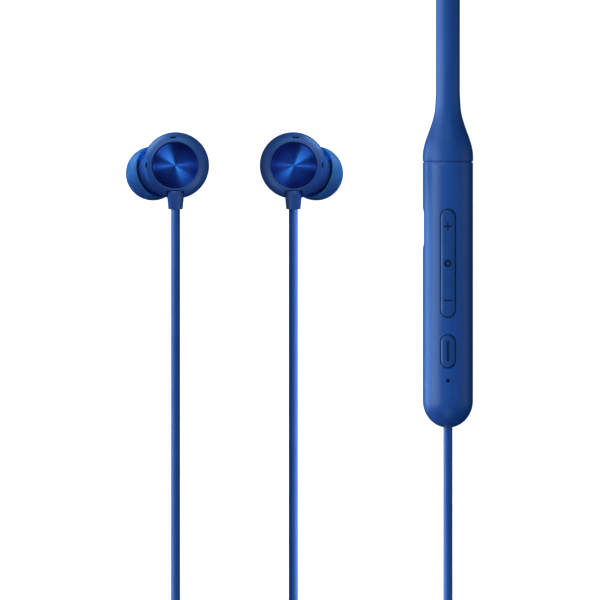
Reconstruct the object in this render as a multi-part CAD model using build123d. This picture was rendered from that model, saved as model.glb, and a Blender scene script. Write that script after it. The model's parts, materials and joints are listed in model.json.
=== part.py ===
from build123d import *
import math
import os

# Neckband earphones, lying flat on a table. Millimetres, +Z up.
# X = 0 is the plane of symmetry of the neckband, +Y points to its arch.
# Positions along an arm are measured from its seam, where the band meets the pod.

# ---- driving dimensions: neckband ----
ARM_SPACING = 140.0  # between the two arms' centre lines
BAND_R = 2.71  # round silicone band
POD_R = 5.65  # control pod and battery pod
ARM_Z = 5.7  # pods and flared ends lie clear of the table, which carries the arch and the ear tips
POD_LENGTH = 59.8
POD_NOSE = 6.1  # length of the elliptical end
WALL = 1.0
FLARE_LENGTH = 16.0  # the band widens to the pod's diameter over this
ARM_STRAIGHT = 45.0  # seam to the start of the arch
SEAM_GAP = 0.1  # half of the groove between band and pod
WIRE_R = 0.45  # shape-memory wire
WIRE_DROP = -1.0  # below the band's centre line
RIBBON_R = 0.8  # insulated leads from the battery to the board
RIBBON_RISE = 0.75

# ---- driving dimensions: keys, board and port, measured from the seam ----
STRIP_WIDTH = 3.2
STRIP_LENGTH = 24.3
STRIP_AT = 22.8
STRIP_KEY_PITCH = 8.35  # centre mark to the plus and minus marks
POWER_WIDTH = 3.2
POWER_LENGTH = 7.4
POWER_AT = 42.6
KEY_GAP = 0.2
KEY_PROUD = 0.35
FLANGE_WIDTH = 4.4
FLANGE_R = 4.28  # a key's flange, under the shell's inner wall
STRIP_UNDERSIDE = 3.45
POWER_UNDERSIDE = 3.15
PINHOLE_AT = 49.2
PINHOLE_R = 0.42
BOARD_LOW = 1.6
BOARD_HIGH = 2.4
BOARD_WIDTH = 7.2
BOARD_START = 7.0
BOARD_END = 51.0
DOME_HEIGHT = 0.4
POWER_SLOT_WIDTH = 0.45
POWER_SLOT_LENGTH = 4.7
POWER_SLOT_DEPTH = 0.6
WINDOW_THICKNESS = 0.3
SCREW_STATIONS = (8.5, 37.1)
USB_AT = 14.85
USB_WIDTH = 8.94
USB_HEIGHT = 3.16
USB_DEPTH = 7.0
USB_MOUTH = -5.3
USB_SKIN = 0.25

# ---- driving dimensions: earbuds ----
BUD_X = {"right": 35.19, "left": 8.75}
BUD_BELOW_SEAM = 0.77
BUD_HEIGHT = 12.37  # centre of the housing above the table
FACE_TILT = 4.0  # the disc leans towards the ear tip's side
NOZZLE_LEAN = 41.0  # nozzle, from straight down
NOZZLE_SWING = 19.3  # nozzle, from straight sideways towards the cable
HOUSING_R = 7.5
SPLIT_AT = -0.4  # joint of the two housings, along the disc's normal
DISC_R = 5.15
DISC_TOP = 2.0
LIP_TOP = 2.35
NECK_R = 5.0  # drum between the housing and the nozzle
NECK_START = 5.65
NECK_END = 7.2
NECK_WALL = 0.9
NOZZLE_R = 2.6
BARB_R = 2.9
NOZZLE_BORE_R = 1.7
NOZZLE_END = 11.5
TIP_R = 6.1
TIP_CENTRE = 8.3  # centre of the tip's round skirt, along the nozzle
TIP_RIM = 7.0
TIP_NOSE = 13.6
TIP_SKIN = 0.6
TIP_CORE_START = 7.5
TIP_BORE_R = 2.98
BOOT_START = 5.6
BOOT_END = 9.88
BOOT_R_WIDE = 1.95
BOOT_R_NARROW = 1.62
BOOT_RISE = 0.45

# ---- driving dimensions: cables ----
CABLE_R = 1.035
CABLE_CLEAR = 0.03
CABLE_HOLE_R = CABLE_R + 0.055
CORNER_SHARE = 0.45  # of the shorter run, used up by each corner's arc

ARM_X = ARM_SPACING / 2
BAND_END_Y = ARM_STRAIGHT + ARM_X + BAND_R
POD_END = POD_LENGTH - POD_NOSE + POD_NOSE * math.sin(math.acos(CABLE_HOLE_R / POD_R))
SEAM_Y = (POD_END - BAND_END_Y) / 2  # puts the origin in the middle of the whole band
SIDES = {"right": 1, "left": -1}


def write(node, shape):
    """One sub-part, one file."""
    export_step(shape, f"parts/{node}.step")


def rod(radius, start, end):
    """Cylinder along local Z from start to end."""
    return Pos(0, 0, (start + end) / 2) * Cylinder(radius, end - start)


def block(x, y, z):
    """Box from three (low, high) pairs."""
    centre = [(low + high) / 2 for low, high in (x, y, z)]
    return Pos(*centre) * Box(*[high - low for low, high in (x, y, z)])


def revolved(*edges):
    """Closed outline in the (radius, height) plane turned about local Z."""
    return revolve(make_face(Plane.XZ * Curve(edges)), Axis.Z)


def polygon_turned(*points):
    """Straight-sided outline in the (radius, height) plane turned about local Z."""
    return revolve(Plane.XZ * make_face(Polyline(*points, close=True)), Axis.Z)


def pod_place(side):
    """Pod frame: X as the part's, Y up from the table, Z from the seam to the round end."""
    return Plane((SIDES[side] * ARM_X, SEAM_Y, ARM_Z), x_dir=(1, 0, 0), z_dir=(0, -1, 0)).location


def stadium(width, length, station, low, high):
    """Round-ended prism along local Y, its long side along local Z, centred at station."""
    outline = Plane((0, low, station), x_dir=(0, 0, 1), z_dir=(0, 1, 0)) * SlotOverall(length, width)
    return extrude(outline, high - low, dir=(0, 1, 0))


def upright(radius, station, low, high):
    """Cylinder along local Y, centred at station."""
    return Pos(0, (low + high) / 2, station) * Rot(90, 0, 0) * Cylinder(radius, high - low)


# ---- neckband: sleeve, wire and leads ----
def band_path(end_beyond_seam):
    """Centre line of the band: arm, gentle drop to the table, arch, and the same back."""
    arch_y = SEAM_Y + ARM_STRAIGHT
    drop_from = SEAM_Y + FLARE_LENGTH
    middle = ((drop_from + arch_y) / 2, (ARM_Z + BAND_R) / 2)
    arm = [Line((ARM_X, SEAM_Y - end_beyond_seam, ARM_Z), (ARM_X, drop_from, ARM_Z))]
    arm += [TangentArc((ARM_X, drop_from, ARM_Z), (ARM_X, *middle), tangent=(0, 1, 0))]
    arm += [TangentArc((ARM_X, *middle), (ARM_X, arch_y, BAND_R), tangent=arm[-1] % 1)]
    top = (0, arch_y + ARM_X, BAND_R)
    arch = [TangentArc((ARM_X, arch_y, BAND_R), top, tangent=(0, 1, 0))]
    arch += [TangentArc(top, (-ARM_X, arch_y, BAND_R), tangent=(-1, 0, 0))]
    back = [TangentArc((-ARM_X, arch_y, BAND_R), (-ARM_X, *middle), tangent=(0, -1, 0))]
    back += [TangentArc((-ARM_X, *middle), (-ARM_X, drop_from, ARM_Z), tangent=back[-1] % 1)]
    back += [Line((-ARM_X, drop_from, ARM_Z), (-ARM_X, SEAM_Y - end_beyond_seam, ARM_Z))]
    return Wire(arm + arch + back)


def along_band(radius, rise, end_beyond_seam):
    """Round section carried along the band, rise above its centre line."""
    path = band_path(end_beyond_seam)
    start = Plane(path @ 0, x_dir=(-1, 0, 0), z_dir=(0, 1, 0))
    return sweep(start * Pos(0, rise) * Circle(radius), path=path)


def flare(side):
    """The band's trumpet-shaped end, with its pocket for the anchor's neck."""
    far = (BAND_R, -FLARE_LENGTH)
    near = (POD_R + 0.03, -SEAM_GAP)
    curve = Spline(near, (5.69, -1.35), (5.27, -4.05), (3.86, -8.1), (3.0, -11.5), far, tangents=((0, -1), (0, -1)))
    sides = [Line(far, (0, -FLARE_LENGTH)), Line((0, -FLARE_LENGTH), (0, -SEAM_GAP)), Line((0, -SEAM_GAP), near)]
    pocket = rod(2.6, -7.2, 1)
    return pod_place(side) * (revolved(curve, *sides) - pocket)


def neckband_sleeve():
    solid = along_band(BAND_R, 0, -FLARE_LENGTH + 0.01)
    for side in SIDES:
        solid = solid + flare(side)
    solid = solid - along_band(WIRE_R + 0.05, WIRE_DROP, 2.5)
    return solid - along_band(RIBBON_R + 0.05, RIBBON_RISE, 6.5)


def band_anchor(side):
    """Rigid stub that ties the band into the pod: plug, neck and a bore for wire and leads."""
    solid = rod(POD_R - WALL - 0.05, SEAM_GAP, 4.5) + rod(2.5, -7.0, 1.0)
    return pod_place(side) * (solid - rod(1.9, -8, 5))


def neckband():
    write("neckband_sleeve", neckband_sleeve())
    write("memory_wire", along_band(WIRE_R, WIRE_DROP, 2.5))
    write("band_leads", along_band(RIBBON_R, RIBBON_RISE, 6.5))
    for side in SIDES:
        write(f"{side}_band_anchor", band_anchor(side))


# ---- pods ----
def nose_curve(radius, nose):
    """Elliptical end, from the barrel to the cable's hole."""
    last = math.acos(CABLE_HOLE_R / radius)
    angles = [last * step / 4 for step in range(5)]
    points = [(radius * math.cos(a), POD_LENGTH - POD_NOSE + nose * math.sin(a)) for a in angles]
    return Spline(points, tangents=((0, 1), (-radius * math.sin(last), nose * math.cos(last))))


def half_shell(facing):
    """Wall of the pod turned through half a circle: front half for +1 and rear half for -1."""
    inner_r = POD_R - WALL
    outer = nose_curve(POD_R, POD_NOSE)
    inner = nose_curve(inner_r, POD_NOSE - WALL)
    edges = [outer, Line(outer @ 1, inner @ 1), inner, Line(inner @ 0, (inner_r, SEAM_GAP))]
    edges += [Line((inner_r, SEAM_GAP), (POD_R, SEAM_GAP)), Line((POD_R, SEAM_GAP), outer @ 0)]
    wall = Plane.XZ * make_face(Curve(edges))
    return Rot(0, 0, 0 if facing > 0 else 180) * revolve(wall, Axis.Z, revolution_arc=180)


def usb_stadium(grow, start, end):
    """Round-ended prism along local X with the port's outline."""
    width = USB_WIDTH + 2 * grow
    outline = Plane((start, 0, USB_AT), x_dir=(0, 0, 1), z_dir=(1, 0, 0)) * SlotOverall(width, USB_HEIGHT + 2 * grow)
    return extrude(outline, end - start, dir=(1, 0, 0))


def control_shells():
    port = usb_stadium(0.05, -7, -3)
    front = half_shell(1) - port
    front = front - stadium(STRIP_WIDTH + 2 * KEY_GAP, STRIP_LENGTH + 2 * KEY_GAP, STRIP_AT, 3, 7)
    front = front - stadium(POWER_WIDTH + 2 * KEY_GAP, POWER_LENGTH + 2 * KEY_GAP, POWER_AT, 3, 7)
    front = front - upright(PINHOLE_R, PINHOLE_AT, 4, 7)
    rear = half_shell(-1) - port
    for station in SCREW_STATIONS:
        post = upright(1.5, station, -4.9, BOARD_LOW)
        rear = rear + (post & rod(POD_R - WALL + 0.2, 0, POD_LENGTH - POD_NOSE))
        rear = rear - upright(0.48, station, -2.5, BOARD_LOW + 1)
    place = pod_place("right")
    write("control_front_shell", place * front)
    write("control_rear_shell", place * rear)


def key(width, length, station, underside):
    """Curved key with a flange that keeps it in the shell."""
    cap = stadium(width, length, station, underside, 7) & rod(POD_R + KEY_PROUD, 0, POD_LENGTH)
    flange = stadium(FLANGE_WIDTH, length + FLANGE_WIDTH - width, station, underside, 7)
    return cap + (flange & rod(FLANGE_R, 0, POD_LENGTH))


def strip_pivot_pad():
    """Soft ring round the centre dome, with the two ridges that the strip rocks on."""
    ring = stadium(4.0, 8.0, STRIP_AT, 2.75, 3.1) - upright(1.75, STRIP_AT, 2, 4)
    for sign in SIDES.values():
        ring = ring + block(sorted((sign * 1.78, sign * 1.98)), (3.0, 3.42), (STRIP_AT - 0.3, STRIP_AT + 0.3))
    return ring


def keys():
    place = pod_place("right")
    slot_low = POD_R + KEY_PROUD - POWER_SLOT_DEPTH
    slot = stadium(POWER_SLOT_WIDTH, POWER_SLOT_LENGTH, POWER_AT, slot_low, 7)
    window = stadium(POWER_SLOT_WIDTH, POWER_SLOT_LENGTH, POWER_AT, slot_low, slot_low + WINDOW_THICKNESS)
    power = key(POWER_WIDTH, POWER_LENGTH, POWER_AT, POWER_UNDERSIDE)
    write("volume_strip", place * key(STRIP_WIDTH, STRIP_LENGTH, STRIP_AT, STRIP_UNDERSIDE))
    write("strip_pivot_pad", place * strip_pivot_pad())
    write("power_key", place * (power - slot))
    write("status_window", place * window)


def dome_switches():
    """Four snap domes on the board: minus, play, plus and power."""
    stations = [STRIP_AT - STRIP_KEY_PITCH, STRIP_AT, STRIP_AT + STRIP_KEY_PITCH, POWER_AT]
    top = BOARD_HIGH + DOME_HEIGHT
    domes = []
    for station in stations:
        skirt = upright(1.6, station, BOARD_HIGH, BOARD_HIGH + DOME_HEIGHT / 2)
        domes.append(skirt + upright(1.2, station, BOARD_HIGH + 0.1, top))
    return Compound(children=domes)


def board_screws():
    screws = []
    for station in SCREW_STATIONS:
        screws.append(upright(0.95, station, BOARD_HIGH, BOARD_HIGH + 0.6) + upright(0.45, station, -1.5, BOARD_HIGH + 0.1))
    return Compound(children=screws)


def control_electronics():
    half_width = BOARD_WIDTH / 2
    board = block((-half_width, half_width), (BOARD_LOW, BOARD_HIGH), (BOARD_START, BOARD_END))
    for station in SCREW_STATIONS:
        board = board - upright(0.6, station, 1, 3)
    under = BOARD_LOW - 0.02
    can = block((-3.2, 3.2), (0.2, under), (22, 34.5)) - block((-3.0, 3.0), (0.4, 3), (22.2, 34.3))
    mic = block((-1.5, 1.5), (BOARD_HIGH, BOARD_HIGH + 1.0), (PINHOLE_AT - 1.1, PINHOLE_AT + 1.1))
    parts = {
        "main_board": board,
        "shield_can": can,
        "audio_chip": block((-2.5, 2.5), (0.6, under), (24, 30)),
        "charge_chip": block((-1.5, 1.5), (0.8, under), (40, 43)),
        "clock_crystal": block((-1.0, 1.0), (1.0, under), (45, 46.6)),
        "microphone": mic,
        "microphone_gasket": upright(1.3, PINHOLE_AT, 3.42, 4.3) - upright(0.5, PINHOLE_AT, 3, 5),
        "microphone_mesh": upright(0.9, PINHOLE_AT, 4.35, 4.5),
        "antenna": block((-1.0, 1.0), (-4.4, -4.25), (20, 34)),
        "dome_switches": dome_switches(),
        "board_screws": board_screws(),
    }
    for node, shape in parts.items():
        write(node, pod_place("right") * shape)


def usb_port():
    """Receptacle: a drawn shell, open at its mouth, and the tongue in it."""
    back = USB_MOUTH + USB_DEPTH
    shell = usb_stadium(0, USB_MOUTH, back) - usb_stadium(-USB_SKIN, USB_MOUTH - 1, back - 0.5)
    tongue = block((USB_MOUTH + 0.8, back - 0.5), (-0.35, 0.35), (USB_AT - 3.3, USB_AT + 3.3))
    write("usb_shell", pod_place("right") * shell)
    write("usb_tongue", pod_place("right") * tongue)


def cable_clamp(side):
    """Disc and barrel that hold the cable inside the pod's round end."""
    solid = rod(POD_R - WALL - 0.05, 51.5, 52.6) + rod(2.2, 52, 57.4)
    return pod_place(side) * (solid - rod(CABLE_R + CABLE_CLEAR, 50, 60))


def battery_pod():
    place = pod_place("left")
    pads = [rod(4.3, 8.2, 9.8), rod(4.3, 48.2, 49.4)]
    write("battery_front_shell", place * half_shell(1))
    write("battery_rear_shell", place * half_shell(-1))
    write("battery_cell", place * fillet(rod(4.2, 10, 48).edges(), 0.5))
    write("battery_board", place * rod(4.3, 6.9, 7.7))
    write("battery_pads", place * Compound(children=pads))


# ---- earbuds ----
def bud_centre(side):
    return Vector(BUD_X[side], SEAM_Y - BUD_BELOW_SEAM, BUD_HEIGHT)


def bud_place(side):
    """Earbud frame: Z is the disc's outward normal, Y as the part's."""
    sign, tilt = SIDES[side], math.radians(FACE_TILT)
    along_x = (math.cos(tilt), 0, -sign * math.sin(tilt))
    return Plane(bud_centre(side), x_dir=along_x, z_dir=(sign * math.sin(tilt), 0, math.cos(tilt))).location


def nozzle_axis(side):
    lean, swing = math.radians(NOZZLE_LEAN), math.radians(NOZZLE_SWING)
    across = math.sin(lean)
    return Vector(SIDES[side] * across * math.cos(swing), -across * math.sin(swing), -math.cos(lean))


def nozzle_place(side):
    """Nozzle frame: Z runs from the housing's centre out along the nozzle."""
    return Plane(bud_centre(side), x_dir=(0, 1, 0), z_dir=nozzle_axis(side)).location


def boot_form(start, grow):
    """Tapered boot along local -Y."""
    return Pos(0, -(start + BOOT_END) / 2, BOOT_RISE) * Rot(90, 0, 0) * Cone(
        BOOT_R_WIDE + grow, BOOT_R_NARROW + grow, BOOT_END - start
    )


def rear_housing(side):
    """Ring that frames the disc: floor, raised lip and sloping flank."""
    flank = Spline((HOUSING_R, SPLIT_AT), (7.4, 0.5), (6.75, 1.5), (5.65, 2.2), tangents=((0, 1), (-1, 0.25)))
    lip = ThreePointArc((5.65, 2.2), (5.4, LIP_TOP), (DISC_R + 0.05, 2.2))
    inside = Polyline((DISC_R + 0.05, 2.2), (DISC_R + 0.05, 1.35), (0, 1.35), (0, 0.75), (6.2, 0.75), (6.6, SPLIT_AT))
    ring = revolved(flank, lip, inside, Line((6.6, SPLIT_AT), (HOUSING_R, SPLIT_AT)))
    return bud_place(side) * (ring - boot_form(BOOT_START - 0.02, 0.03))


def front_housing(side):
    """Bowl with a hollow drum at an angle, whose nozzle ends in a barb for the ear tip."""
    bowl = Spline((HOUSING_R, SPLIT_AT), (7.05, -2.3), (4.9, -4.7), (0, -5.8), tangents=((0, -1), (-1, 0)))
    top = Polyline((0, -5.8), (0, SPLIT_AT), (HOUSING_R, SPLIT_AT))
    hollow = Spline((6.6, SPLIT_AT), (6.2, -2.0), (4.2, -4.0), (0, -4.9), tangents=((0, -1), (-1, 0)))
    lid = Polyline((0, -4.9), (0, SPLIT_AT + 1), (6.6, SPLIT_AT + 1), (6.6, SPLIT_AT))
    # The stem's root stays below the joint of the two housings.
    root_r = NECK_R - 1.1
    stem = polygon_turned((0, 3), (root_r, NECK_START - 1.1), (NECK_R, NECK_START), (NECK_R, NECK_END - 0.2),
                          (NECK_R - 0.2, NECK_END), (NOZZLE_R, NECK_END), (NOZZLE_R, 9.5), (BARB_R, 9.7),
                          (BARB_R, 10.2), (NOZZLE_R - 0.1, NOZZLE_END), (0, NOZZLE_END))
    room_r, room_end = NECK_R - NECK_WALL, NECK_END - NECK_WALL
    room = polygon_turned((0, 4.6), (3, 4.6), (room_r, 5.9), (room_r, room_end), (0, room_end))
    solid = bud_place(side) * revolved(bowl, top) + nozzle_place(side) * stem
    solid = solid - bud_place(side) * revolved(hollow, lid)
    solid = solid - nozzle_place(side) * room - nozzle_place(side) * rod(NOZZLE_BORE_R, 2, 13)
    return solid - bud_place(side) * boot_form(BOOT_START - 0.02, 0.03)


def ear_tip(side):
    """Mushroom-shaped silicone tip with an open skirt."""
    def on_round(radius, at):
        return math.sqrt(radius**2 - (at - TIP_CENTRE) ** 2)

    inner_r = TIP_R - TIP_SKIN
    core_r = TIP_BORE_R + 0.5
    core_top = TIP_CENTRE + math.sqrt(inner_r**2 - core_r**2)
    outer = ThreePointArc((on_round(TIP_R, TIP_RIM), TIP_RIM), (on_round(TIP_R, 10.5), 10.5), (on_round(TIP_R, TIP_NOSE), TIP_NOSE))
    bore = Polyline((on_round(TIP_R, TIP_NOSE), TIP_NOSE), (2.3, TIP_NOSE), (2.3, 11.75), (TIP_BORE_R, 11.75),
                    (TIP_BORE_R, TIP_CORE_START), (core_r, TIP_CORE_START), (core_r, core_top))
    inner = ThreePointArc((core_r, core_top), (on_round(inner_r, 10), 10), (on_round(inner_r, TIP_RIM), TIP_RIM))
    rim = Line((on_round(inner_r, TIP_RIM), TIP_RIM), (on_round(TIP_R, TIP_RIM), TIP_RIM))
    return nozzle_place(side) * revolved(outer, bore, inner, rim)


def driver_parts():
    """Moving-coil driver in the earbud frame, firing away from the disc."""
    frame = rod(4.8, -2.9, -0.8) - rod(3.9, -3.5, -1.2)
    return {
        "driver_frame": frame,
        "driver_magnet": rod(2.4, -2.5, -1.2),
        "voice_coil": rod(2.9, -2.8, -1.5) - rod(2.6, -4, 0),
        "driver_diaphragm": rod(4.5, -3.06, -2.93),
        "clip_magnet": rod(3.0, -0.65, 0.7),
        "face_plate": chamfer(rod(DISC_R, 1.38, DISC_TOP).edges().group_by(Axis.Z)[-1], 0.08),
    }


def earbud(side):
    boot = boot_form(BOOT_START, 0) - boot_bore()
    write(f"{side}_rear_housing", rear_housing(side))
    write(f"{side}_front_housing", front_housing(side))
    write(f"{side}_cable_boot", bud_place(side) * boot)
    write(f"{side}_nozzle_mesh", nozzle_place(side) * rod(NOZZLE_BORE_R - 0.05, 11.1, 11.25))
    write(f"{side}_ear_tip", ear_tip(side))
    for name, shape in driver_parts().items():
        write(f"{side}_{name}", bud_place(side) * shape)


def boot_bore():
    """Blind bore for the cable, from the boot's narrow end."""
    start, end = BOOT_START + 0.1, BOOT_END + 1
    return Pos(0, -(start + end) / 2, BOOT_RISE) * Rot(90, 0, 0) * Cylinder(CABLE_R + CABLE_CLEAR, end - start)


# ---- cables ----
def cable_route(side):
    """Route points from inside the pod to inside the earbud's boot."""
    pod_x = SIDES[side] * ARM_X
    bud = bud_centre(side)
    rise = bud.Z + BOOT_RISE * math.cos(math.radians(FACE_TILT))
    bud_x = bud.X + SIDES[side] * BOOT_RISE * math.sin(math.radians(FACE_TILT))
    floor = CABLE_R + 0.005
    from_pod = [(pod_x, -50.0, ARM_Z), (pod_x, -72.0, ARM_Z), (pod_x, -98.0, floor)]
    to_bud = [(bud_x, -95.0, floor), (bud_x, -58.0, 6.5), (bud_x, -27.0, rise), (bud_x, bud.Y - SEAM_Y - BOOT_START - 0.12, rise)]
    turn = {
        "right": [(pod_x, -148.0, floor), (bud_x, -148.0, floor)],
        "left": [(pod_x, -121.0, floor), (-48.0, -143.0, floor), (-13.0, -143.0, floor), (bud_x, -121.0, floor)],
    }
    return [Vector(x, y + SEAM_Y, z) for x, y, z in from_pod + turn[side] + to_bud]


def cable(side):
    """Straight runs joined by tangent arcs, as large as each pair of runs allows."""
    points = cable_route(side)
    runs = [end - start for start, end in zip(points, points[1:])]
    radii = []
    for before, after in zip(runs, runs[1:]):
        turn = math.radians(before.get_angle(after))
        radii.append(CORNER_SHARE * min(before.length, after.length) / math.tan(turn / 2))
    path = FilletPolyline(*points, radius=radii)
    tube = sweep(Plane(path @ 0, z_dir=path % 0) * Circle(CABLE_R), path=path)
    expected = math.pi * CABLE_R**2 * path.length
    print(f"{side}_cable length {path.length:.1f} radii {[round(r, 1) for r in radii]}")
    print(f"{side}_cable volume {tube.volume:.1f} against {expected:.1f}")
    return tube


def main():
    os.makedirs("parts", exist_ok=True)
    neckband()
    control_shells()
    keys()
    control_electronics()
    usb_port()
    battery_pod()
    for side in SIDES:
        write(f"{side}_cable_clamp", cable_clamp(side))
        write(f"{side}_cable", cable(side))
        earbud(side)


main()
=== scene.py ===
import json
import math

import bmesh
import bpy
from mathutils import Matrix, Vector


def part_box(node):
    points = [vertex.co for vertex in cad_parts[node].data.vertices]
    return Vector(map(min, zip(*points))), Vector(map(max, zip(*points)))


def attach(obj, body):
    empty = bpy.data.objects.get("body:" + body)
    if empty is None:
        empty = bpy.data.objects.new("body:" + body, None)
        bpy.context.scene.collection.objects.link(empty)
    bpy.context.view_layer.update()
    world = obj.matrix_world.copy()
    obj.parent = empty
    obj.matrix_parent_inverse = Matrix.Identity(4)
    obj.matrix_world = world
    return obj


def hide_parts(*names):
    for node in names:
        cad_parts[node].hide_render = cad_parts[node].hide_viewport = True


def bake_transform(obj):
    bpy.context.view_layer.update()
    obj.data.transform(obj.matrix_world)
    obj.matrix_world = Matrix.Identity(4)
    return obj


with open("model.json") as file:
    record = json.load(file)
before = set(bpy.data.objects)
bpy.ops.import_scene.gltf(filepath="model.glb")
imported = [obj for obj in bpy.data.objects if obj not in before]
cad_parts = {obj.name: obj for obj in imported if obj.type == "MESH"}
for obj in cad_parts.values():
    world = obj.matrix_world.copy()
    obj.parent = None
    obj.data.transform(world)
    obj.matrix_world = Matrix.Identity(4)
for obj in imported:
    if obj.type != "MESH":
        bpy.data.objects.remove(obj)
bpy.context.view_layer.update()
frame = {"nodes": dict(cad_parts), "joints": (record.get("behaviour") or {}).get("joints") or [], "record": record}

# Neckband earphones on a pale floor. Meshes are made in millimetres in the frame of their own
# sub-assembly and then set down in the CAD frame, in metres.
MM = 0.001
SIDES = {"right": 1, "left": -1}

# ---- sizes in millimetres, as the CAD has them ----
SEAM_GAP = 0.1
SEAM_LIP_R = 5.42  # bottom of the groove between the sleeve and the pod
SEAM_OVERLAP = 0.02
POD_NOSE = 6.1
POD_LENGTH = 59.8
WALL = 1.0
CABLE_R = 1.035
CABLE_HOLE_R = 1.09
STRIP_AT, STRIP_WIDTH, STRIP_LENGTH, STRIP_PITCH = 22.8, 3.2, 24.3, 8.35
POWER_AT, POWER_WIDTH, POWER_LENGTH = 42.6, 3.2, 7.4
KEY_GAP = 0.2
KEY_PROUD = 0.35
KEY_ROUNDING = 0.5  # width of a key's rounded edge
KEY_EDGE_DROP = 0.42  # height of a key's rounded edge
STRIP_UNDERSIDE, POWER_UNDERSIDE = 3.45, 3.15
BAR_WIDTH, BAR_LENGTH, BAR_DEPTH = 0.55, 4.75, 0.25  # slot in the power key, over its window
WINDOW_WIDTH, WINDOW_LENGTH, WINDOW_DEPTH = 0.53, 4.72, 0.10
MARK_WIDTH, MARK_DEPTH = 0.36, 0.16
MARK_LENGTH, MARK_UPRIGHT = 2.0, 1.8
RING_MARK_R, RING_MARK_HOLE_R = 0.86, 0.32
PINHOLE_AT, PINHOLE_R = 49.2, 0.42
USB_AT, USB_WIDTH, USB_HEIGHT = 14.85, 9.04, 3.26
FLARE_LENGTH = 16.0
ARM_STRAIGHT = 45.0
RIM_STEPS = 4  # steps over the sleeve's rounded rim
DISC_TOP = 2.0
DISC_R = 5.15
DISC_SLOPE = 0.07  # slope of the disc's shallow dome at its rim
HOUSING_R = 7.5
SPLIT_AT = -0.4  # height of the plane between the two housings
SPLIT_GAP = 0.02
TIP_R, TIP_CENTRE, TIP_RIM, TIP_NOSE = 6.1, 8.3, 7.0, 13.6
TIP_SKIN = 0.42
NECK_R, NECK_START, NECK_END = 5.0, 5.65, 7.2  # drum between the housing and the nozzle
BOOT_RISE = 0.45
BOOT_POCKET_R = 1.98
BOOT_START = 5.72  # distance from the disc's middle to the visible end of the boot


# ---- places, read from the frame ----
def disc_face(side):
    return next(m for m in frame["record"]["mounts"] if m["name"] == f"{side}_disc_face")


def joint(name):
    return next(j for j in frame["joints"] if j["name"] == name)


def placed(origin, x_dir, z_dir):
    """Matrix from local millimetres to the frame's metres."""
    z_dir = Vector(z_dir).normalized()
    x_dir = Vector(x_dir)
    x_dir = (x_dir - z_dir * x_dir.dot(z_dir)).normalized()
    turn = Matrix((x_dir, z_dir.cross(x_dir), z_dir)).transposed().to_4x4()
    return Matrix.Translation(origin) @ turn @ Matrix.Scale(MM, 4)


FRONT_LOW, FRONT_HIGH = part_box("control_front_shell")
POD_R = (FRONT_HIGH.x - FRONT_LOW.x) / 2 / MM
ARM_X = (FRONT_HIGH.x + FRONT_LOW.x) / 2
ARM_Z = FRONT_LOW.z
SEAM_Y = FRONT_HIGH.y + SEAM_GAP * MM
BAND_TOP_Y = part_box("neckband_sleeve")[1].y
BAND_R = (BAND_TOP_Y - SEAM_Y - ARM_X) / MM - ARM_STRAIGHT


def pod_place(side):
    """Pod frame: Y up from the floor, Z from the seam to the round end."""
    return placed((SIDES[side] * ARM_X, SEAM_Y, ARM_Z), (1, 0, 0), (0, -1, 0))


def bud_centre(side):
    face = disc_face(side)
    return Vector(face["pos_m"]) - Vector(face["axis"]) * DISC_TOP * MM


def bud_place(side):
    """Earbud frame: Z out of the disc, Y as the part's."""
    normal = Vector(disc_face(side)["axis"])
    return placed(bud_centre(side), (normal.z, 0, -normal.x), normal)


def nozzle_place(side):
    """Nozzle frame: Z out along the nozzle."""
    return placed(bud_centre(side), (0, 1, 0), joint(f"{side}_tip_pull")["axis"])


# ---- mesh helpers, all in millimetres ----
def new_object(name, vertices, faces):
    mesh = bpy.data.meshes.new(name)
    mesh.from_pydata(vertices, [], faces)
    obj = bpy.data.objects.new(name, mesh)
    bpy.context.scene.collection.objects.link(obj)
    return obj


def quarter_turn(axis):
    return Matrix.Rotation(math.radians(90), 4, axis)


def upright(station):
    """Turns a prism so that it runs down along -Y, and moves it along Z to its station."""
    return Matrix.Translation((0, 0, station)) @ quarter_turn("X")


def ring_faces(first, second, count):
    """Faces between two rings of points, given where each ring starts."""
    pairs = [(k, (k + 1) % count) for k in range(count)]
    return [(first + k, first + after, second + after, second + k) for k, after in pairs]


def tidy_mesh(obj):
    """Merges doubled points and turns every face outwards."""
    bm = bmesh.new()
    bm.from_mesh(obj.data)
    bmesh.ops.remove_doubles(bm, verts=bm.verts, dist=1e-4)
    bmesh.ops.recalc_face_normals(bm, faces=bm.faces)
    bm.to_mesh(obj.data)
    bm.free()
    return obj


def lathe(name, outline, steps, start=0.0, arc=360.0):
    """Closed outline of (radius, height) points turned about Z; part turns get end faces."""
    whole = arc >= 360
    turns = steps if whole else steps + 1
    vertices = []
    for turn in range(turns):
        angle = math.radians(start + arc * turn / steps)
        vertices += [(r * math.cos(angle), r * math.sin(angle), h) for r, h in outline]
    count = len(outline)
    faces = []
    for turn in range(steps):
        faces += ring_faces(turn * count, (turn + 1) % turns * count, count)
    if not whole:
        faces.append(tuple(range(count)))
        faces.append(tuple(reversed(range(steps * count, steps * count + count))))
    return tidy_mesh(new_object(name, vertices, faces))


def prism(name, outline, low, high, matrix=None):
    """Closed outline of (x, y) points raised from low to high along Z, then moved by matrix."""
    count = len(outline)
    vertices = [(x, y, z) for z in (low, high) for x, y in outline]
    ends = [tuple(reversed(range(count))), tuple(range(count, 2 * count))]
    obj = new_object(name, vertices, ends + ring_faces(0, count, count))
    if matrix is not None:
        obj.data.transform(matrix)
    return tidy_mesh(obj)


def stadium_outline(width, length, steps=20):
    """Round-ended slot, its long side along X."""
    half = (length - width) / 2
    points = []
    for end, first in ((1, -90), (-1, 90)):
        for k in range(steps + 1):
            angle = math.radians(first + 180 * k / steps)
            points.append((end * half + width / 2 * math.cos(angle), width / 2 * math.sin(angle)))
    return points


def circle_outline(radius, steps=48):
    angles = [math.tau * k / steps for k in range(steps)]
    return [(radius * math.cos(angle), radius * math.sin(angle)) for angle in angles]


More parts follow.
